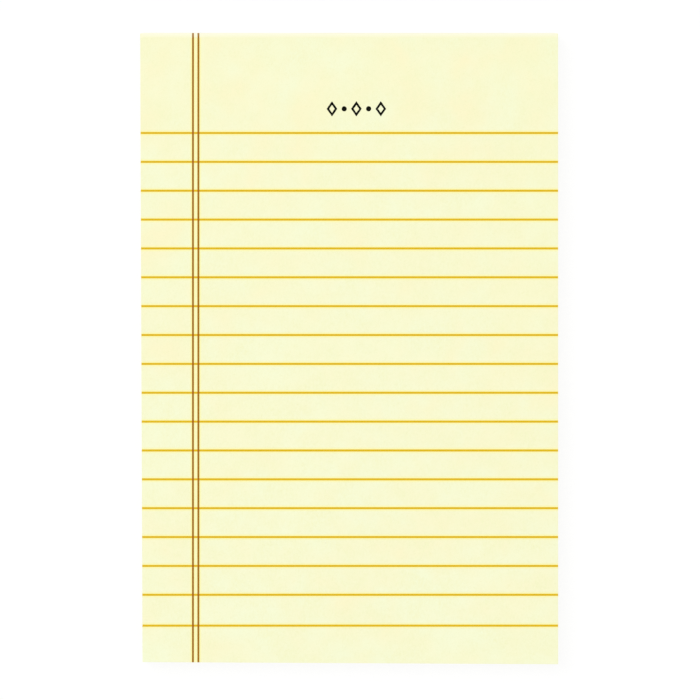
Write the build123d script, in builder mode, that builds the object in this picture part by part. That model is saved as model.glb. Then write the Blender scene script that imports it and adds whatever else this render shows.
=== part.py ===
"""A ruled writing pad: trimmed leaves on a chipboard back, held by a film of glue along the head.

Millimetres. The origin is at the bottom centre of the whole pad. +X points to the right of the
writing face, +Y to the glued head and +Z out of the writing face.
"""

import os

from build123d import *

# Trimmed outline: the guillotine left it a little out of square
sheet_width = 101.0
sheet_length = 152.4
left_edge_lean = 0.58
tail_edge_rise = 0.52

# Leaves
leaf_count = 50
leaf_thickness = 0.12
leaf_step = 0.05
head_squeeze = 0.25
squeeze_run = 15.0

# Backing board
board_thickness = 0.8
board_edge_radius = 0.1

# Glue along the head
glue_thickness = 0.25
glue_edge_radius = 0.15
glue_end_gap = 0.2
glue_lap = 1.2
glue_lap_root = 0.05
glue_lap_end = 0.02

# Places that follow from the sizes
left_x = -sheet_width / 2
right_x = sheet_width / 2
glue_face_y = (sheet_length + glue_thickness) / 2
head_y = glue_face_y - glue_thickness
tail_y = head_y - sheet_length
squeeze_y = head_y - squeeze_run


def trim_outline():
    """The cut round leaves and board: square at the head, with a leaning left side and a rising tail."""
    return Polyline(
        (right_x, head_y),
        (left_x, head_y),
        (left_x + left_edge_lean, tail_y + tail_edge_rise),
        (right_x, tail_y),
        close=True,
    )


def loose_height(leaves_below):
    """Height of the surface over that many leaves, where they lie loose."""
    return board_thickness + leaves_below * leaf_thickness


def head_height(leaves_below):
    """Height of the same surface at the head, where the glue clamp pressed the leaves together."""
    return loose_height(leaves_below) - head_squeeze * leaves_below / leaf_count


def writing_height(y):
    """Height of the writing face in the squeezed stretch near the head."""
    share = (y - squeeze_y) / squeeze_run
    return loose_height(leaf_count) + share * (head_height(leaf_count) - loose_height(leaf_count))


def make_leaf(index):
    """One leaf, counted from the board. Every second leaf, never the top one, lies a step further in."""
    stands_back = (leaf_count - 1 - index) % 2 == 1
    with BuildPart() as leaf:
        with BuildSketch(Plane.YZ):
            with BuildLine():
                Polyline(
                    (tail_y, loose_height(index)),
                    (squeeze_y, loose_height(index)),
                    (head_y, head_height(index)),
                    (head_y, head_height(index + 1)),
                    (squeeze_y, loose_height(index + 1)),
                    (tail_y, loose_height(index + 1)),
                    close=True,
                )
            make_face()
        extrude(amount=sheet_width / 2, both=True)
        with BuildSketch():
            with BuildLine():
                trim_outline()
            make_face()
            if stands_back:
                offset(amount=-leaf_step, kind=Kind.INTERSECTION)
        extrude(amount=loose_height(leaf_count), mode=Mode.INTERSECT)
    return leaf.part


# The leaves as one block. Their steps show as fine lines round its sides.
with BuildPart() as page_block:
    add([make_leaf(index) for index in range(leaf_count)])

# The board is cut with the leaves. Handling has rounded its lower edges a little.
with BuildPart() as backing_board:
    with BuildSketch():
        with BuildLine():
            trim_outline()
        make_face()
    extrude(amount=board_thickness)
    fillet(backing_board.faces().sort_by(Axis.Z)[0].edges(), radius=board_edge_radius)

# The glue film covers the head from the underside up and laps over the top leaf, thinning out.
# It was brushed on wet, so it fills the steps between the leaves and grips each one.
lap_end_y = head_y - glue_lap
lap_core = leaf_thickness / 2
with BuildPart() as glue_binding:
    with BuildSketch(Plane.YZ):
        with BuildLine():
            Polyline(
                (head_y - leaf_step, 0),
                (glue_face_y, 0),
                (glue_face_y, head_height(leaf_count) + glue_lap_root),
                (head_y, head_height(leaf_count) + glue_lap_root),
                (lap_end_y, writing_height(lap_end_y) + glue_lap_end),
                (lap_end_y, writing_height(lap_end_y) - lap_core),
                (head_y - leaf_step, head_height(leaf_count) - lap_core),
                close=True,
            )
        make_face()
    extrude(amount=sheet_width / 2 - glue_end_gap, both=True)
    fillet(glue_binding.faces().sort_by(Axis.Y)[-1].edges(), radius=glue_edge_radius)
    add(page_block.part, mode=Mode.SUBTRACT)
    add(backing_board.part, mode=Mode.SUBTRACT)

page_block.part.label = "page_block"
backing_board.part.label = "backing_board"
glue_binding.part.label = "glue_binding"

os.makedirs("parts", exist_ok=True)
export_step(page_block.part, "parts/page_block.step")
export_step(backing_board.part, "parts/backing_board.step")
export_step(glue_binding.part, "parts/glue_binding.step")
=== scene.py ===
"""The looks of a ruled writing pad: printed top leaf, leaf stack, glued head and chipboard back.

Metres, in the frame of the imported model: +X to the right of the writing face, +Y to the glued
head and +Z out of the writing face. Every piece lies inside the CAD node that it stands for.
"""

import math
import random

import bpy
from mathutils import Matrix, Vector, noise


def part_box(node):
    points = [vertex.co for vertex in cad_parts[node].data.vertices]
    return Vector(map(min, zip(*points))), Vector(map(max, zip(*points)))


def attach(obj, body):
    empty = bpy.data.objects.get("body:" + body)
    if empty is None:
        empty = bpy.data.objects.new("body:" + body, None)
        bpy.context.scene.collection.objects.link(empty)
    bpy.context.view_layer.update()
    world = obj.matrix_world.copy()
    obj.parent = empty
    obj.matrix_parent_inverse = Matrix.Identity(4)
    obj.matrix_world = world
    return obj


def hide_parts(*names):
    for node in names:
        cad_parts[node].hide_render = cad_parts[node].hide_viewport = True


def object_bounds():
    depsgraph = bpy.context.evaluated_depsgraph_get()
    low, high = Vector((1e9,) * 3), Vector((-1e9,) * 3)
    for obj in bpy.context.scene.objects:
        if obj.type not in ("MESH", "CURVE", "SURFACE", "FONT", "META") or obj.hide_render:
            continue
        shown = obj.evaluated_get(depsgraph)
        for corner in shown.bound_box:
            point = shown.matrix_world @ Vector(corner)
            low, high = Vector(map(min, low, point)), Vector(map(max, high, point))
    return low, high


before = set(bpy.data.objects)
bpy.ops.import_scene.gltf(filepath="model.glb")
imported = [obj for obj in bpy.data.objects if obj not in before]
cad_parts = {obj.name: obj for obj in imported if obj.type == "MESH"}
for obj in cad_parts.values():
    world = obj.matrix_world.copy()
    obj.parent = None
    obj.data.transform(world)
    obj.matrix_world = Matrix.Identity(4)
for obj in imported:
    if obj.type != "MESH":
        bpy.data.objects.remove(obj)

CAD_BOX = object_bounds()
MM = 0.001

# The print on each leaf, measured from the head and from the head's left corner
RULE_COUNT = 18
RULE_PITCH = 6.974 * MM
FIRST_RULE = 24.045 * MM
LAST_GAP = 7.45 * MM
RULE_WIDTH = 0.505 * MM
MARGIN_COUNT = 2
MARGIN_LEFT = 12.76 * MM
MARGIN_PITCH = 1.314 * MM
MARGIN_WIDTH = 0.465 * MM
SOAK_REACH = 0.55 * MM

# The heading ornament: a row of open lozenges with round dots between, as a pen draws them
HEADING_MIDDLE = (52.25 * MM, -18.2 * MM)
LOZENGE_COUNT = 3
LOZENGE_PITCH = 5.9 * MM
LOZENGE_WIDTH = 2.6 * MM
LOZENGE_HEIGHT = 3.7 * MM
DOT_WIDTH = 1.25 * MM
PEN_WIDTH = 0.52 * MM
INK_HEIGHT = 0.01 * MM
HAND_WANDER = 0.05 * MM
HAND_RUNS = (0.7 * MM, 0.7 * MM)
SIDE_STEPS = 9
DOT_STEPS = 28
MARK_CORNERS = 4

# Leaves
LEAF_COUNT = 50
LEAF_GAP = 0.06
EDGE_WANDER = 0.045 * MM
EDGE_LEAST = 0.15
EDGE_SPREAD = 0.45
EDGE_SWAY = 0.7
EDGE_RUNS = (22 * MM, 22 * MM)
CLUMP_CHANCE = 0.12
CLUMP_MOST = 0.4
GROOVE_DEPTH = 0.06 * MM
HEAD_SQUEEZE = 0.25 * MM
SQUEEZE_RUN = 15 * MM
PAGE_SAG = 0.14 * MM
CURL_REACH = 34 * MM
CURL_SPREAD = 0.45
PAGE_RIPPLE = 0.02 * MM
RIPPLE_RUNS = (36 * MM, 45 * MM)
TOP_ROOM = 0.03 * MM
PRINT_WANDER = 0.06 * MM

# A speck in the paper of the top leaf
SPECK_PLACE = (44.8 * MM, -123.1 * MM)
SPECK_RADIUS = 0.24 * MM
SPECK_CORE = 0.6 * SPECK_RADIUS

# The board's cut sides: how far in the cut lies, in millimetres, at each share of the thickness
BOARD_CUT = (
    (0, 0.12),
    (0.05, 0.05),
    (0.16, 0.015),
    (0.4, 0.03),
    (0.62, 0.01),
    (0.84, 0.025),
    (0.985, 0.05),
)
BOARD_CUT_SWAY = 0.6
BOARD_CUT_RUNS = (2.4 * MM, 2.4 * MM)

# The glue film
FILM_LAP = 1.0 * MM
LAP_WANDER = 0.12 * MM
LAP_WANDER_RUNS = (6.2 * MM, 1)
LAP_FRAY = 0.05 * MM
LAP_FRAY_RUNS = (1.4 * MM, 1)
LAP_HEIGHT = 0.028 * MM
LAP_THINNING = 0.6
LAP_SHARES = (0.75, 0.4, 0.1)
FILM_FULLNESS = 0.74
BROAD_SWELL = 0.16
BROAD_RUNS = (17 * MM, 11 * MM)
BRUSH_SWELL = 0.09
BRUSH_RUNS = (7.7 * MM, 0.67 * MM)
FILM_SKIN = 0.004 * MM
CORNER_GAP = 5 * FILM_SKIN
LAP_GAP = FILM_SKIN / 4
END_FULLNESS = 0.3
FILM_TAPER = 0.55 * MM
TAPER_SWAY = 0.6
TAPER_RUNS = (9 * MM, 1.3 * MM)
TAPER_CUT = 0.3 * FILM_TAPER
FILM_FOOT = 0.06 * MM
FILM_ROWS = 22
ROUND_STEPS = 5
INKED_ROWS = 6

# How finely the pieces are divided
GRID_STEP = 3 * MM
FILM_STEP = 0.7 * MM
INK_GUARD = 0.08 * MM
SHARP_ANGLE = 40

# The bake's maps: the parts of them that the underside, each side and the top take
MAP_TEXELS = 1024
MAP_GAP = 0.004
LEAF_MAP = (0.04, 0.02, 0.85)
STACK_MAP = (0.03, 0.235, 0.03)
BOARD_MAP = (0.68, 0.07, 0.04)
MARK_BAND = (0.97, 1 - MAP_GAP)

# A mark's own part of the map: its ring at the left, then the two discs that close a dot
RING_SHARE = 0.6
DISC_SHARE = 0.16
TOP_DISC, LOW_DISC = 0.62, 0.8

# The film's map: its two ends side by side, and its whole length above them
FILM_MAP = (0.06, 0.94)
END_MAP_STEP = 0.55
END_MAP_WIDTH = 0.45

# What picks the pattern of each wave of noise, and what each piece's random draws start from
RIPPLE_SEED = 3.7
LEAF_SEED_STEP = 0.83
HAND_SEEDS = (6, 2)
LAP_WANDER_SEED, LAP_FRAY_SEED = 9, 4
BROAD_SEED, BRUSH_SEED, TAPER_SEED = 1, 5, 7
LEAF_DRAW, STACK_DRAW, BOARD_DRAW = 5, 11, 23
BOARD_SEED_SPAN = 50

# The places of the materials in page_materials
PAPER, CUT_EDGE, RULE_INK, MARGIN_INK, OVERPRINT, PEN_INK, EDGE_RULE, EDGE_MARGIN = range(8)


def corner_of(node, across, along):
    """The corner of a CAD node's outline that lies furthest in that direction."""
    points = [vertex.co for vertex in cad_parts[node].data.vertices]
    return max(points, key=lambda point: across * point.x + along * point.y)


HEAD_LEFT = corner_of("page_block", -1, 1)
HEAD_RIGHT = corner_of("page_block", 1, 1)
TAIL_LEFT = corner_of("page_block", -1, -1)
TAIL_RIGHT = corner_of("page_block", 1, -1)
BLOCK_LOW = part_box("page_block")[0].z
BLOCK_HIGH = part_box("page_block")[1].z
HEAD_Y = HEAD_LEFT.y
HEAD_PITCH = (BLOCK_HIGH - BLOCK_LOW - HEAD_SQUEEZE) / LEAF_COUNT


def print_bands():
    """The y ranges of the rules and the x ranges of the margin lines."""
    middles = [HEAD_Y - FIRST_RULE - k * RULE_PITCH for k in range(RULE_COUNT - 1)]
    middles.append(middles[-1] - LAST_GAP)
    rules = [(y - RULE_WIDTH / 2, y + RULE_WIDTH / 2) for y in middles]
    lefts = [HEAD_LEFT.x + MARGIN_LEFT + k * MARGIN_PITCH for k in range(MARGIN_COUNT)]
    margins = [(x - MARGIN_WIDTH / 2, x + MARGIN_WIDTH / 2) for x in lefts]
    return rules, margins


RULES, MARGINS = print_bands()


def smooth(share):
    """0 to 1 with soft ends."""
    share = min(max(share, 0.0), 1.0)
    return share * share * (3 - 2 * share)


def wave(seed, x, y, runs):
    """Smooth noise from -1 to 1 that changes over the first run along x and over the second along y."""
    return noise.noise(Vector((x / runs[0], y / runs[1], seed)))


def divided(low, high, inked, step):
    """Places from low to high that hold both edges of every inked band, with no gap over step.

    A narrow strip is cut off beside each band too, so that the ink bakes sharp there.
    """
    guarded = [(start - INK_GUARD, start, end, end + INK_GUARD) for start, end in inked]
    cuts = sorted({low, high, *(edge for cut in guarded for edge in cut if low < edge < high)})
    places = []
    for start, end in zip(cuts, cuts[1:]):
        parts = max(1, math.ceil((end - start) / step))
        places += [start + (end - start) * k / parts for k in range(parts)]
    return places + [high]


def inside(place, inked):
    return any(low < place < high for low, high in inked)


def left_edge(y):
    share = (HEAD_LEFT.y - y) / (HEAD_LEFT.y - TAIL_LEFT.y)
    return HEAD_LEFT.x + share * (TAIL_LEFT.x - HEAD_LEFT.x)


def tail_edge(x):
    share = (x - TAIL_LEFT.x) / (TAIL_RIGHT.x - TAIL_LEFT.x)
    return TAIL_LEFT.y + share * (TAIL_RIGHT.y - TAIL_LEFT.y)


def page_height(x, y, share):
    """Height of the surface over that share of the leaves: pressed at the head, loose at the tail."""
    squeezed = HEAD_SQUEEZE * smooth((y - HEAD_Y + SQUEEZE_RUN) / SQUEEZE_RUN)
    from_side = min(HEAD_RIGHT.x - x, x - HEAD_LEFT.x)
    from_corner = math.hypot(y - TAIL_RIGHT.y, CURL_SPREAD * from_side)
    settled = PAGE_SAG * smooth(from_corner / CURL_REACH)
    ripple = PAGE_RIPPLE * wave(RIPPLE_SEED, x, y, RIPPLE_RUNS)
    full = BLOCK_HIGH - BLOCK_LOW - TOP_ROOM - squeezed - share * share * settled + ripple
    return BLOCK_LOW + share * full


def board_height(x, y, share):
    return share * BLOCK_LOW


def make_piece(name, points, faces, inks, places=None):
    """A mesh object. inks holds each face's material, and places each face's spots in the bake's map."""
    mesh = bpy.data.meshes.new(name)
    mesh.from_pydata([tuple(point) for point in points], [], faces)
    mesh.polygons.foreach_set("material_index", inks)
    if places:
        layer = mesh.uv_layers.new(name="OFBake")
        spots = [spot for face in places for spot in face]
        layer.data.foreach_set("uv", [part for spot in spots for part in spot])
    mesh.update()
    piece = bpy.data.objects.new(name, mesh)
    bpy.context.scene.collection.objects.link(piece)
    return piece


def map_bands(shares):
    """The v range of each region of a map, stacked upwards with gaps between."""
    bands, low = [], 0.0
    for share in shares:
        bands.append((low + MAP_GAP, low + share - MAP_GAP))
        low += share
    return bands


def spot_in(band, across, up):
    """A place in a band of the map, from shares of its width and height."""
    low, high = band
    return MAP_GAP + (1 - 2 * MAP_GAP) * across, low + (high - low) * up


def texel_spot(band, across, up):
    """The same place moved to the nearest corner of the map's texels, where an inked edge bakes sharp."""
    return tuple(round(part * MAP_TEXELS) / MAP_TEXELS for part in spot_in(band, across, up))


def layered(levels, height, top_ink, edge_ink, map_shares, plain=0):
    """A closed skin of the pad's outline, built up from level to level: points, faces, inks, map places.

    levels are (share of the height, how far in the outline lies at each point, shift of the print).
    top_ink gives the material of a top cell, edge_ink that of a side face, and either may be None for
    plain. map_shares are the parts of the map that the underside, each side and the top take.
    """
    xs = divided(HEAD_LEFT.x, HEAD_RIGHT.x, MARGINS, GRID_STEP)
    ys = divided(TAIL_RIGHT.y, HEAD_RIGHT.y, RULES, GRID_STEP)
    last_i, last_j = len(xs) - 1, len(ys) - 1
    sides = [
        [(i, 0) for i in range(last_i + 1)],
        [(last_i, j) for j in range(last_j + 1)],
        [(i, last_j) for i in range(last_i, -1, -1)],
        [(0, j) for j in range(last_j, -1, -1)],
    ]
    rim = [spot for side in sides for spot in side[:-1]]
    under, side_share, top = map_shares
    under_band, *side_bands, top_band = map_bands((under, *[side_share] * len(sides), top))

    def place(i, j, inward, shift):
        x = left_edge(ys[j]) if i == 0 else xs[i]
        y = tail_edge(x) if j == 0 else ys[j]
        if 0 < i < last_i:
            x += shift
        elif 0 < j < last_j:
            y += shift
        x += inward * ((i == 0) - (i == last_i))
        y += inward * ((j == 0) - (j == last_j))
        return x, y

    points, faces, inks, places = [], [], [], []
    rings = []
    for share, inset, shift in levels:
        ring = {}
        for i, j in rim:
            x, y = place(i, j, inset(xs[i], ys[j]), shift)
            ring[i, j] = len(points)
            points.append((x, y, height(x, y, share)))
        rings.append(ring)
    for side, band in zip(sides, side_bands):
        for walk, (a, b) in enumerate(zip(side, side[1:])):
            middle = [(xs[a[0]] + xs[b[0]]) / 2, (ys[a[1]] + ys[b[1]]) / 2]
            ink = edge_ink(*middle, a[0] == b[0]) if edge_ink else plain
            left, right = walk / (len(side) - 1), (walk + 1) / (len(side) - 1)
            for level, (lower, upper) in enumerate(zip(rings, rings[1:])):
                down, up = level / (len(rings) - 1), (level + 1) / (len(rings) - 1)
                faces.append((lower[a], lower[b], upper[b], upper[a]))
                inks.append(ink)
                corners = ((left, down), (right, down), (right, up), (left, up))
                places.append([texel_spot(band, *corner) for corner in corners])
    for ring, share, is_top in ((rings[0], levels[0][0], False), (rings[-1], levels[-1][0], True)):
        spots = dict(ring)
        for i in range(1, last_i):
            for j in range(1, last_j):
                x, y = place(i, j, 0.0, 0.0)
                spots[i, j] = len(points)
                points.append((x, y, height(x, y, share)))
        band = top_band if is_top else under_band
        for i in range(last_i):
            for j in range(last_j):
                cell = [(i, j), (i + 1, j), (i + 1, j + 1), (i, j + 1)]
                if not is_top:
                    cell.reverse()
                faces.append([spots[corner] for corner in cell])
                places.append([texel_spot(band, m / last_i, n / last_j) for m, n in cell])
                middle = ((xs[i] + xs[i + 1]) / 2, (ys[j] + ys[j + 1]) / 2)
                inks.append(top_ink(*middle) if is_top and top_ink else plain)
    return points, faces, inks, places


def printed(x, y):
    """The material of the writing face at a point."""
    on_rule, on_margin = inside(y, RULES), inside(x, MARGINS)
    if on_rule and on_margin:
        return OVERPRINT
    if on_rule:
        return RULE_INK
    return MARGIN_INK if on_margin else PAPER


def bled(x, y, along_y):
    """The material of a cut edge: lines that run off the leaf tint it."""
    if along_y and inside(y, RULES):
        return EDGE_RULE
    if not along_y and y < 0 and inside(x, MARGINS):
        return EDGE_MARGIN
    return CUT_EDGE


def leaf_levels(first, last, seed):
    """Levels of the leaves from first up to last: two edges a leaf, with a groove between leaves."""
    draw = random.Random(seed)
    levels = []
    clump = 0.0
    for leaf in range(first, last):
        if draw.random() < CLUMP_CHANCE:
            clump = draw.uniform(0, CLUMP_MOST)
        is_top = leaf == LEAF_COUNT - 1
        back = 0.0 if is_top else EDGE_WANDER * (EDGE_LEAST + EDGE_SPREAD * draw.random() + clump)
        shift = 0.0 if is_top else draw.uniform(-PRINT_WANDER, PRINT_WANDER)

        def edge(x, y, back=back, seed=LEAF_SEED_STEP * leaf):
            return back * (1 + EDGE_SWAY * wave(seed, x, y, EDGE_RUNS))

        def groove(x, y, back=back):
            return back + GROOVE_DEPTH

        levels.append(((leaf + LEAF_GAP) / LEAF_COUNT, edge, shift))
        levels.append(((leaf + 1 - LEAF_GAP) / LEAF_COUNT, edge, shift))
        if leaf < last - 1:
            levels.append(((leaf + 1) / LEAF_COUNT, groove, shift))
    return levels


# Materials


def new_material(name, roughness, gloss, base):
    """A material, its node tree and its Principled node."""
    material = bpy.data.materials.new(name)
    material.use_nodes = True
    tree = material.node_tree
    shader = tree.nodes["Principled BSDF"]
    shader.inputs["Roughness"].default_value = roughness
    shader.inputs["Specular IOR Level"].default_value = gloss
    shader.inputs["Base Color"].default_value = (*base, 1)
    return material, tree, shader


def connect(tree, socket, value):
    """Gives a socket a link, a colour or a number."""
    if isinstance(value, bpy.types.NodeSocket):
        tree.links.new(value, socket)
    elif isinstance(value, tuple) and socket.type == "RGBA":
        socket.default_value = (*value, 1)
    else:
        socket.default_value = value


def add_node(tree, kind, inputs, **settings):
    node = tree.nodes.new(kind)
    for key, value in settings.items():
        setattr(node, key, value)
    for key, value in inputs.items():
        connect(tree, node.inputs[key], value)
    return node


def add_place(tree):
    return add_node(tree, "ShaderNodeTexCoord", {}).outputs["Object"]


def add_noise(tree, size, detail=2.0, stretch=(1, 1, 1), low=0.3, high=0.7, turn=0.0, bend=0.0):
    """Noise from 0 to 1 with features of that size, closer together along the axes that stretch raises.

    low and high are the levels of the noise that become 0 and 1. turn is the angle of the axes in the
    pad's plane, and bend is how much the features curl.
    """
    turned = add_node(tree, "ShaderNodeMapping", {"Vector": add_place(tree), "Rotation": (0, 0, turn)})
    mapped = add_node(tree, "ShaderNodeMapping", {"Vector": turned.outputs["Vector"], "Scale": stretch})
    inputs = {
        "Vector": mapped.outputs["Vector"],
        "Scale": 1 / size,
        "Detail": detail,
        "Distortion": bend,
    }
    return add_range(tree, add_node(tree, "ShaderNodeTexNoise", inputs).outputs["Fac"], low, high)


def add_range(tree, value, low, high, to_low=0.0, to_high=1.0):
    inputs = {
        "Value": value,
        "From Min": low,
        "From Max": high,
        "To Min": to_low,
        "To Max": to_high,
    }
    return add_node(tree, "ShaderNodeMapRange", inputs, clamp=True).outputs["Result"]


def add_mix(tree, share, first, second, most=1.0):
    """Mixes two colours. The share runs from 0 to 1, and most is how much of the second it may give.

    The Mix node's colours are its inputs 6 and 7 and its output 2.
    """
    if isinstance(share, bpy.types.NodeSocket) and most < 1:
        share = add_range(tree, share, 0, 1, to_high=most)
    node = add_node(tree, "ShaderNodeMix", {0: share, 6: first, 7: second}, data_type="RGBA")
    return node.outputs[2]


def add_math(tree, operation, first, second=0.0):
    return add_node(tree, "ShaderNodeMath", {0: first, 1: second}, operation=operation).outputs[0]


def add_bump(tree, shader, height, strength, distance):
    inputs = {"Height": height, "Strength": strength, "Distance": distance}
    bump = add_node(tree, "ShaderNodeBump", inputs)
    tree.links.new(bump.outputs["Normal"], shader.inputs["Normal"])


# Colours, in linear red, green and blue
PAPER_HEAD = (0.928, 0.920, 0.602)
PAPER_TAIL = (0.926, 0.944, 0.660)
PAPER_CREAM = (0.955, 0.895, 0.570)
PAPER_LIME = (0.900, 0.950, 0.680)
PAPER_DARK = (0.895, 0.900, 0.565)
PAPER_FIBRE = (0.83, 0.83, 0.47)
PAPER_SPECK = (0.80, 0.76, 0.57)
PAPER_SOAKED = (0.985, 0.920, 0.29)
EDGE_LIGHT = (0.975, 0.935, 0.66)
EDGE_DARK = (0.90, 0.845, 0.54)
EDGE_WORN = (0.84, 0.78, 0.49)
RULE_COLOUR = (0.765, 0.480, 0.0006)
MARGIN_COLOUR = (0.365, 0.150, 0.002)
OVERPRINT_COLOUR = (0.43, 0.124, 0.0004)
PEN_COLOUR = (0.0015, 0.0015, 0.001)
BOARD_LIGHT = (0.39, 0.315, 0.23)
BOARD_DARK = (0.32, 0.255, 0.185)
BOARD_GRAIN = (0.25, 0.195, 0.14)
LIGHT_FIBRE = (0.60, 0.53, 0.43)
DARK_FIBRE = (0.12, 0.09, 0.07)
GLUE_PALE = (0.945, 0.935, 0.75)
GLUE_STREAK = (0.86, 0.845, 0.64)
GLUE_LINE = (0.78, 0.755, 0.53)
INK_DEEPENING = 0.93

FIBRE_FLATNESS = 3
FIBRE_BEND = 0.4

# How far past the head the glue is at its palest, and how far past it the head's face is reached
GLUE_RISE = 0.15 * MM
FACE_RISE = 0.05 * MM


def add_fibres(tree, size, slimness, turns, low, high):
    """Scattered fibres, pressed flat, that lie in several directions and curl a little."""
    fibres = 0.0
    for turn in turns:
        more = add_noise(
            tree,
            size,
            detail=1,
            stretch=(1, slimness, FIBRE_FLATNESS),
            low=low,
            high=high,
            turn=math.radians(turn),
            bend=FIBRE_BEND,
        )
        fibres = add_math(tree, "MAXIMUM", fibres, more)
    return fibres


def paper_colour(tree, place, fibre):
    """Pulp with cloudy formation, a little creamier in one place and limier in the next."""
    colour = add_mix(tree, add_range(tree, place["Y"], HEAD_Y, TAIL_RIGHT.y), PAPER_HEAD, PAPER_TAIL)
    cream = add_noise(tree, size=17 * MM, detail=5, low=0.36, high=0.64)
    lime = add_noise(tree, size=11 * MM, detail=5, stretch=(1.2, 1, 1), low=0.38, high=0.66)
    colour = add_mix(tree, cream, colour, PAPER_CREAM, most=0.75)
    colour = add_mix(tree, lime, colour, PAPER_LIME, most=0.65)
    formation = add_math(tree, "MULTIPLY", add_noise(tree, size=4.8 * MM, detail=3), fibre)
    colour = add_mix(tree, formation, colour, PAPER_DARK)
    fibres = add_fibres(tree, size=0.16 * MM, slimness=0.14, turns=(10, 65, 120), low=0.62, high=0.74)
    return add_mix(tree, fibres, colour, PAPER_FIBRE, most=0.3)


def add_soaking(tree, place):
    """1 beside a printed line, down to 0 a little way off: ink that spread in the paper."""
    middles = [sum(band) / 2 for band in RULES]
    half_pitch = RULE_PITCH / 2
    even = add_range(
        tree,
        place["Y"],
        low=middles[0] + half_pitch,
        high=middles[-2] - half_pitch,
        to_low=-half_pitch,
        to_high=middles[0] - middles[-2] + half_pitch,
    )
    to_rule = add_math(tree, "PINGPONG", even, half_pitch)
    to_last = add_math(tree, "ABSOLUTE", add_math(tree, "SUBTRACT", place["Y"], middles[-1]))
    to_rule = add_math(tree, "MINIMUM", to_rule, to_last)
    pair_middle = (MARGINS[0][0] + MARGINS[-1][1]) / 2
    to_pair = add_math(tree, "ABSOLUTE", add_math(tree, "SUBTRACT", place["X"], pair_middle))
    to_line = add_math(tree, "ABSOLUTE", add_math(tree, "SUBTRACT", to_pair, MARGIN_PITCH / 2))
    soaked = []
    for distance, half in ((to_rule, RULE_WIDTH / 2), (to_line, MARGIN_WIDTH / 2)):
        soaked.append(add_range(tree, distance, half, half + SOAK_REACH, to_low=1, to_high=0))
    return add_math(tree, "MAXIMUM", *soaked)


def paper_material(name, tint=None, gloss=0.25):
    """Pale yellow paper with fine fibres and a tooth, bare or printed over."""
    material, tree, shader = new_material(name, roughness=0.82, gloss=gloss, base=PAPER_HEAD)
    place = add_node(tree, "ShaderNodeSeparateXYZ", {"Vector": add_place(tree)}).outputs
    fibre = add_noise(tree, size=0.38 * MM, stretch=(1, 0.45, 1), low=0.25, high=0.75)
    colour = paper_colour(tree, place, fibre)
    if tint:
        deep = tuple(INK_DEEPENING * part for part in tint)
        ink = add_mix(tree, add_noise(tree, size=0.5 * MM), tint, deep)
        coverage = add_range(tree, fibre, 0, 1, to_low=0.985, to_high=1.0)
        colour = add_mix(tree, coverage, colour, ink)
    else:
        colour = add_mix(tree, add_soaking(tree, place), colour, PAPER_SOAKED, most=0.75)
        colour = add_speck(tree, colour)
    tree.links.new(colour, shader.inputs["Base Color"])
    tooth = add_noise(tree, size=0.2 * MM, detail=3)
    add_bump(tree, shader, tooth, strength=0.3, distance=0.02 * MM)
    return material


def add_speck(tree, colour):
    """The one dull speck in the writing face."""
    middle = (HEAD_LEFT.x + SPECK_PLACE[0], HEAD_Y + SPECK_PLACE[1], BLOCK_HIGH)
    inputs = {0: add_place(tree), 1: middle}
    distance = add_node(tree, "ShaderNodeVectorMath", inputs, operation="DISTANCE").outputs["Value"]
    away = add_range(tree, distance, SPECK_CORE, SPECK_RADIUS)
    return add_mix(tree, away, PAPER_SPECK, colour)


def edge_material(name, tint=None):
    """The cut sides of the leaves: each leaf a little lighter or darker, with burnished streaks."""
    material, tree, shader = new_material(name, roughness=0.88, gloss=0.2, base=EDGE_LIGHT)
    leaves = add_noise(tree, size=1.1 * MM, stretch=(0.02, 0.02, 6))
    streaks = add_noise(tree, size=1.4 * MM, stretch=(1, 1, 0.25))
    colour = add_mix(tree, leaves, EDGE_LIGHT, EDGE_DARK)
    colour = add_mix(tree, streaks, colour, EDGE_WORN, most=0.25)
    if tint:
        bled_share = add_range(tree, leaves, 0, 1, to_low=0.15, to_high=0.32)
        colour = add_mix(tree, bled_share, colour, tint)
    tree.links.new(colour, shader.inputs["Base Color"])
    add_bump(tree, shader, streaks, strength=0.3, distance=0.03 * MM)
    return material


def chipboard_material():
    """Raw recycled board: grey-brown pulp with light and dark fibres lying every way."""
    material, tree, shader = new_material("chipboard", roughness=0.9, gloss=0.2, base=BOARD_LIGHT)
    grain = add_noise(tree, size=0.33 * MM, detail=3)
    colour = add_mix(tree, add_noise(tree, size=5 * MM, detail=4), BOARD_LIGHT, BOARD_DARK)
    colour = add_mix(tree, grain, colour, BOARD_GRAIN, most=0.35)
    light = add_fibres(tree, size=0.36 * MM, slimness=0.16, turns=(15, 75, 140), low=0.66, high=0.76)
    colour = add_mix(tree, light, colour, LIGHT_FIBRE, most=0.55)
    dark = add_fibres(tree, size=0.3 * MM, slimness=0.18, turns=(40, 100, 165), low=0.68, high=0.78)
    colour = add_mix(tree, dark, colour, DARK_FIBRE, most=0.65)
    tree.links.new(colour, shader.inputs["Base Color"])
    add_bump(tree, shader, grain, strength=0.5, distance=0.05 * MM)
    return material


def add_leaf_lines(tree, up):
    """1 between two leaves and 0 over the middle of each leaf, by height at the head."""
    inputs = {0: up, 1: 2 * math.pi / HEAD_PITCH, 2: -2 * math.pi * BLOCK_LOW / HEAD_PITCH}
    turns = add_node(tree, "ShaderNodeMath", inputs, operation="MULTIPLY_ADD").outputs[0]
    return add_range(tree, add_math(tree, "COSINE", turns), 0, 1)


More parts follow.
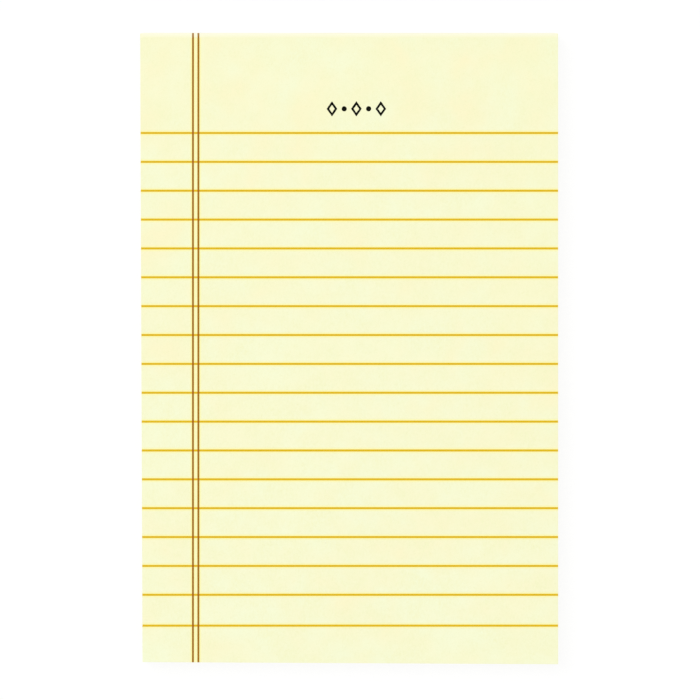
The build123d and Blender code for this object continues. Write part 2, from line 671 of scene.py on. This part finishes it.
def glue_material(name, tint=None, gloss=0.5):
    """Dried padding glue: paler from the lap's end up to just past the head's corner, clear over paper
    and print where it thins out.
    """
    material, tree, shader = new_material(name, roughness=0.42, gloss=gloss, base=GLUE_PALE)
    brushed = add_noise(tree, size=2.4 * MM, detail=3, stretch=(0.12, 1, 1))
    place = add_node(tree, "ShaderNodeSeparateXYZ", {"Vector": add_place(tree)}).outputs
    # The colour pales from the lap's end on the top leaf up to just past the head's corner.
    to_head = add_range(tree, place["Y"], HEAD_Y - FILM_LAP, HEAD_Y + GLUE_RISE)
    colour = add_mix(tree, to_head, PAPER_HEAD, GLUE_PALE)
    relief = brushed
    if tint:
        colour = add_mix(tree, to_head, tint, colour, most=0.08)
    else:
        on_face = add_range(tree, place["Y"], HEAD_Y, HEAD_Y + FACE_RISE)
        thin = add_noise(tree, size=1.9 * MM, detail=3, stretch=(0.3, 1, 1), low=0.38, high=0.62)
        lines = add_math(tree, "MULTIPLY", add_leaf_lines(tree, place["Z"]), on_face)
        shown_lines = add_range(tree, thin, 0, 1, to_low=0.15, to_high=1)
        lines = add_math(tree, "MULTIPLY", lines, shown_lines)
        streaks = add_math(tree, "MULTIPLY", brushed, on_face)
        colour = add_mix(tree, streaks, colour, GLUE_STREAK, most=0.7)
        thin_on_face = add_math(tree, "MULTIPLY", thin, on_face)
        colour = add_mix(tree, thin_on_face, colour, EDGE_LIGHT, most=0.4)
        colour = add_mix(tree, lines, colour, GLUE_LINE, most=0.5)
        from_middle = add_math(tree, "ABSOLUTE", place["X"])
        ragged = add_noise(tree, size=0.8 * MM)
        ragged = add_range(tree, ragged, 0, 1, to_low=0.15 * MM, to_high=0.7 * MM)
        end = add_math(tree, "GREATER_THAN", add_math(tree, "ADD", from_middle, ragged), HEAD_RIGHT.x)
        colour = add_mix(tree, end, colour, EDGE_LIGHT, most=0.7)
        relief = add_math(tree, "SUBTRACT", brushed, lines)
    tree.links.new(colour, shader.inputs["Base Color"])
    roughness = add_range(tree, brushed, 0, 1, to_low=0.34, to_high=0.55)
    tree.links.new(roughness, shader.inputs["Roughness"])
    add_bump(tree, shader, relief, strength=0.35, distance=0.05 * MM)
    return material


# Pieces


def lozenge(middle, reach_x, reach_y):
    tips = [Vector(tip) for tip in ((reach_x, 0), (0, reach_y), (-reach_x, 0), (0, -reach_y))]
    outline = []
    for start, end in zip(tips, tips[1:] + tips[:1]):
        outline += [middle + start.lerp(end, k / SIDE_STEPS) for k in range(SIDE_STEPS)]
    return outline


def round_dot(middle, reach):
    turns = [2 * math.pi * k / DOT_STEPS for k in range(DOT_STEPS)]
    return [middle + reach * Vector((math.cos(turn), math.sin(turn))) for turn in turns]


def heading_marks():
    """A plain ornament where a heading would stand.

    Each mark is its inner outline, its outer outline, and whether it is open in the middle.
    """
    first = HEAD_LEFT.x + HEADING_MIDDLE[0] - LOZENGE_PITCH * (LOZENGE_COUNT - 1) / 2
    reach_x, reach_y = LOZENGE_WIDTH / 2, LOZENGE_HEIGHT / 2
    to_side = reach_x * reach_y / math.hypot(reach_x, reach_y)
    hole = 1 - PEN_WIDTH / to_side
    marks = []
    for k in range(LOZENGE_COUNT):
        middle = Vector((first + k * LOZENGE_PITCH, HEAD_Y + HEADING_MIDDLE[1]))
        inner = lozenge(middle, hole * reach_x, hole * reach_y)
        marks.append((inner, lozenge(middle, reach_x, reach_y), True))
        if k < LOZENGE_COUNT - 1:
            middle = middle + Vector((LOZENGE_PITCH / 2, 0))
            marks.append((round_dot(middle, DOT_WIDTH / 4), round_dot(middle, DOT_WIDTH / 2), False))
    return marks


def ink_slab(inner, outer, is_open, map_place):
    """A mark as a thin closed slab sunk in the writing face: points, faces and places in the map.

    Its section has four corners: inner top, outer top, outer bottom and inner bottom. A dot is closed
    by two discs instead of an inner wall. map_place turns shares of the mark's own part of the map
    into a place.
    """
    count = len(outer)
    points, faces, places = [], [], []
    for near, far in zip(inner, outer):
        for spot, rise in ((near, 1), (far, 1), (far, -1), (near, -1)):
            x = spot.x + HAND_WANDER * wave(HAND_SEEDS[0], spot.x, spot.y, HAND_RUNS)
            y = spot.y + HAND_WANDER * wave(HAND_SEEDS[1], spot.x, spot.y, HAND_RUNS)
            points.append((x, y, page_height(x, y, 1 - LEAF_GAP / LEAF_COUNT) + rise * INK_HEIGHT))
    for k in range(count):
        here, there = MARK_CORNERS * k, MARK_CORNERS * ((k + 1) % count)
        for m in range(MARK_CORNERS if is_open else MARK_CORNERS - 1):
            n = (m + 1) % MARK_CORNERS
            faces.append((here + m, here + n, there + n, there + m))
            corners = ((k, m), (k, m + 1), (k + 1, m + 1), (k + 1, m))
            spots = [(RING_SHARE * walk / count, up / MARK_CORNERS) for walk, up in corners]
            places.append([map_place(*spot) for spot in spots])
    if not is_open:
        for left, order, corner in ((TOP_DISC, 1, 0), (LOW_DISC, -1, MARK_CORNERS - 1)):
            turns = [2 * math.pi * k / count for k in range(count)][::order]
            faces.append([MARK_CORNERS * k + corner for k in range(count)][::order])
            spots = [(left + DISC_SHARE * (1 + math.cos(t)) / 2, (1 + math.sin(t)) / 2) for t in turns]
            places.append([map_place(*spot) for spot in spots])
    return points, faces, places


def make_top_leaf():
    """The leaf with the writing face, its print, and the ornament's ink set in it."""
    levels = leaf_levels(LEAF_COUNT - 1, LEAF_COUNT, LEAF_DRAW)
    skin = layered(levels, page_height, printed, bled, LEAF_MAP, PAPER)
    points, faces, inks, places = skin
    marks = heading_marks()
    for number, mark in enumerate(marks):

        def map_place(across, up, number=number):
            return spot_in(MARK_BAND, (number + across) / len(marks), up)

        mark_points, mark_faces, mark_places = ink_slab(*mark, map_place)
        start = len(points)
        points += mark_points
        faces += [[start + corner for corner in face] for face in mark_faces]
        inks += [PEN_INK] * len(mark_faces)
        places += mark_places
    return make_piece("top_leaf", points, faces, inks, places)


def make_stack():
    """The leaves under the top one, with a groove between each two."""
    levels = leaf_levels(0, LEAF_COUNT - 1, STACK_DRAW)
    skin = layered(levels, page_height, None, bled, STACK_MAP, PAPER)
    return make_piece("leaf_stack", *skin)


def make_board():
    """The chipboard, with its cut sides a little rough and its lower edges rubbed round."""
    draw = random.Random(BOARD_DRAW)
    levels = []
    for share, inward in BOARD_CUT:
        seed = draw.uniform(0, BOARD_SEED_SPAN)

        def inset(x, y, inward=inward, seed=seed):
            return inward * MM * (1 + BOARD_CUT_SWAY * wave(seed, x, y, BOARD_CUT_RUNS))

        levels.append((share, inset, 0.0))
    skin = layered(levels, board_height, None, None, BOARD_MAP)
    return make_piece("chipboard", *skin)


def film_profile(x, room, from_end):
    """The film's section at x: from the lap's end over the head, down the face, and back inside.

    room is how thick it may be, and from_end how far x is from the nearer end of the film.
    """
    top = page_height(x, HEAD_Y, 1)
    lap = FILM_LAP + LAP_WANDER * wave(LAP_WANDER_SEED, x, 0, LAP_WANDER_RUNS)
    lap += LAP_FRAY * wave(LAP_FRAY_SEED, x, 0, LAP_FRAY_RUNS)

    def thickness(z):
        broad = wave(BROAD_SEED, x, z, BROAD_RUNS)
        brushed = wave(BRUSH_SEED, x, z, BRUSH_RUNS)
        taper = FILM_TAPER * (1 + TAPER_SWAY * wave(TAPER_SEED, x, z, TAPER_RUNS))
        fullness = END_FULLNESS + (1 - END_FULLNESS) * smooth(from_end / taper)
        return room * fullness * (FILM_FULLNESS + BROAD_SWELL * broad + BRUSH_SWELL * brushed)

    def lap_spot(share, above):
        y = HEAD_Y - lap * share
        return y, page_height(x, y, 1) + above

    profile = [lap_spot(1, FILM_SKIN)]
    for share in LAP_SHARES:
        profile.append(lap_spot(share, LAP_HEIGHT * (1 - LAP_THINNING * share)))
    reach = thickness(top)
    for turn in range(1, ROUND_STEPS + 1):
        angle = math.pi / 2 * turn / ROUND_STEPS
        z = top + LAP_HEIGHT - reach * (1 - math.cos(angle))
        profile.append((HEAD_Y + reach * math.sin(angle), z))
    start_z = top + LAP_HEIGHT - reach
    for row in range(1, FILM_ROWS + 1):
        z = start_z + (FILM_FOOT - start_z) * row / FILM_ROWS
        profile.append((HEAD_Y + thickness(z), z))
    profile.append((HEAD_Y + thickness(FILM_FOOT) / 2, FILM_FOOT / 2))
    profile.append((HEAD_Y + FILM_SKIN, FILM_FOOT / 2))
    profile.append((HEAD_Y + FILM_SKIN, top - CORNER_GAP))
    profile.append((HEAD_Y, top + LAP_GAP))
    profile.append(lap_spot(0.5, LAP_GAP))
    return profile


def shares_of(values):
    """Where each value lies between the lowest, 0, and the highest, 1."""
    low, high = min(values), max(values)
    return [(value - low) / (high - low) for value in values]


def make_film():
    """The glue film: over the lap on the top leaf, round the corner and down the head face.

    The margin lines show through its first rows, on the lap.
    """
    low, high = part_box("glue_binding")
    # Cuts close to both ends, where the film tapers
    ends = [(low.x, low.x + TAPER_CUT), (high.x - TAPER_CUT, high.x)]
    xs = divided(low.x, high.x, MARGINS + ends, FILM_STEP)
    profiles = [film_profile(x, high.y - HEAD_Y, min(x - low.x, high.x - x)) for x in xs]
    size, last = len(profiles[0]), len(xs) - 1
    points = [(x, y, z) for x, profile in zip(xs, profiles) for y, z in profile]
    faces, inks, places = [], [], []
    end_band, long_band = map_bands(FILM_MAP)
    for k in range(last):
        on_margin = inside((xs[k] + xs[k + 1]) / 2, MARGINS)
        for m in range(size):
            n = (m + 1) % size
            here, there = k * size, (k + 1) * size
            faces.append((there + m, there + n, here + n, here + m))
            inks.append(1 if on_margin and m < INKED_ROWS else 0)
            corners = ((k + 1, m), (k + 1, m + 1), (k, m + 1), (k, m))
            places.append([spot_in(long_band, across / last, up / size) for across, up in corners])
    for start, order in ((0, 1), (last * size, -1)):
        corners = [start + m for m in range(size)][::order]
        faces.append(corners)
        inks.append(0)
        left = 0.0 if start == 0 else END_MAP_STEP
        ys = shares_of([points[corner][1] for corner in corners])
        zs = shares_of([points[corner][2] for corner in corners])
        places.append([spot_in(end_band, left + END_MAP_WIDTH * z, y) for y, z in zip(ys, zs)])
    return make_piece("glue_film", points, faces, inks, places)


def set_smooth(piece, angle):
    """Smooth shading that keeps edges sharper than the angle."""
    piece.data.polygons.foreach_set("use_smooth", [True] * len(piece.data.polygons))
    piece.data.set_sharp_from_angle(angle=math.radians(angle))


def dress(piece, materials, node):
    """Gives a piece its materials and shading, hangs it on the root body and hides the CAD node it stands
    for.
    """
    for material in materials:
        piece.data.materials.append(material)
    set_smooth(piece, SHARP_ANGLE)
    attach(piece, "root")
    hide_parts(node)


page_materials = [
    paper_material("paper_face"),
    edge_material("cut_edge"),
    paper_material("rule_ink", RULE_COLOUR),
    paper_material("margin_ink", MARGIN_COLOUR),
    paper_material("overprint", OVERPRINT_COLOUR, gloss=0.08),
    paper_material("pen_ink", PEN_COLOUR, gloss=0.03),
    edge_material("edge_rule", RULE_COLOUR),
    edge_material("edge_margin", MARGIN_COLOUR),
]
glue_materials = [
    glue_material("padding_glue"),
    glue_material("inked_glue", MARGIN_COLOUR, gloss=0.2),
]

dress(make_top_leaf(), page_materials, "page_block")
dress(make_stack(), page_materials, "page_block")
dress(make_board(), [chipboard_material()], "backing_board")
dress(make_film(), glue_materials, "glue_binding")


# Stage

WORLD_LIGHT = 0.78
FLOOR_BOUNCE = 0.92

# The floor's glow and shade add up to FLOOR_WHITE, just over white, in full light
FLOOR_SHADE = 0.13
FLOOR_WHITE = 1.01
FLOOR_HALF = 4.0
LAMP_PLACE = (-1.8, 1.4, 3.4)
LAMP_SIZE = 2.2
LAMP_ENERGY = 56


def grey(level):
    return (level, level, level)


def seen_plainly(tree):
    """1 on camera, glossy and transmission rays, which see the white backdrop."""
    rays = add_node(tree, "ShaderNodeLightPath", {}).outputs
    seen = add_math(tree, "MAXIMUM", rays["Is Camera Ray"], rays["Is Glossy Ray"])
    return add_math(tree, "MAXIMUM", seen, rays["Is Transmission Ray"])


def make_world():
    world = bpy.data.worlds.new("studio")
    world.use_nodes = True
    tree = world.node_tree
    tree.nodes.clear()
    light = add_node(tree, "ShaderNodeBackground", {"Color": grey(1.0), "Strength": WORLD_LIGHT})
    shown = add_node(tree, "ShaderNodeBackground", {"Color": grey(1.0), "Strength": 1.0})
    inputs = {0: seen_plainly(tree), 1: light.outputs[0], 2: shown.outputs[0]}
    mix = add_node(tree, "ShaderNodeMixShader", inputs)
    add_node(tree, "ShaderNodeOutputWorld", {"Surface": mix.outputs[0]})
    bpy.context.scene.world = world


def make_floor():
    """A pale floor that shows white, and keeps a faint shadow of the pad."""
    reach = FLOOR_HALF
    corners = [(-reach, -reach, 0), (reach, -reach, 0), (reach, reach, 0), (-reach, reach, 0)]
    floor = make_piece("floor", corners, [(0, 1, 2, 3)], [0])
    material = bpy.data.materials.new("floor")
    material.use_nodes = True
    tree = material.node_tree
    tree.nodes.clear()
    plain = add_node(tree, "ShaderNodeBsdfDiffuse", {"Color": grey(FLOOR_BOUNCE)})
    shade = add_node(tree, "ShaderNodeBsdfDiffuse", {"Color": grey(FLOOR_SHADE)})
    inputs = {"Color": grey(1.0), "Strength": FLOOR_WHITE - FLOOR_SHADE}
    glow = add_node(tree, "ShaderNodeEmission", inputs)
    white = add_node(tree, "ShaderNodeAddShader", {0: shade.outputs[0], 1: glow.outputs[0]})
    inputs = {0: seen_plainly(tree), 1: plain.outputs[0], 2: white.outputs[0]}
    mix = add_node(tree, "ShaderNodeMixShader", inputs)
    add_node(tree, "ShaderNodeOutputMaterial", {"Surface": mix.outputs[0]})
    floor.data.materials.append(material)


def make_lamp():
    data = bpy.data.lights.new("key", "AREA")
    data.size = LAMP_SIZE
    data.energy = LAMP_ENERGY
    lamp = bpy.data.objects.new("key", data)
    lamp.location = LAMP_PLACE
    lamp.rotation_mode = "QUATERNION"
    lamp.rotation_quaternion = Vector(LAMP_PLACE).to_track_quat("Z", "Y")
    bpy.context.scene.collection.objects.link(lamp)


# The photograph looks straight down. Its pixels give the scale and where the pad's middle falls.
PHOTO_SIZE = 700
PHOTO_TOP, PHOTO_BOTTOM = 32.4, 664.25
PHOTO_LEFT, PHOTO_RIGHT = 140.1, 558.2
LENS = 200
SENSOR = 36


def make_camera():
    low, high = CAD_BOX
    pixel = (high.y - low.y) / (PHOTO_BOTTOM - PHOTO_TOP)
    across = (PHOTO_LEFT + PHOTO_RIGHT - PHOTO_SIZE) / 2 * pixel
    down = (PHOTO_TOP + PHOTO_BOTTOM - PHOTO_SIZE) / 2 * pixel
    data = bpy.data.cameras.new("camera")
    data.lens = LENS
    data.sensor_width = SENSOR
    camera = bpy.data.objects.new("camera", data)
    away = PHOTO_SIZE * pixel * LENS / SENSOR
    camera.location = ((low.x + high.x) / 2 - across, (low.y + high.y) / 2 + down, high.z + away)
    bpy.context.scene.collection.objects.link(camera)
    bpy.context.scene.camera = camera


make_world()
make_floor()
make_lamp()
make_camera()
bpy.context.scene.view_settings.view_transform = "Standard"
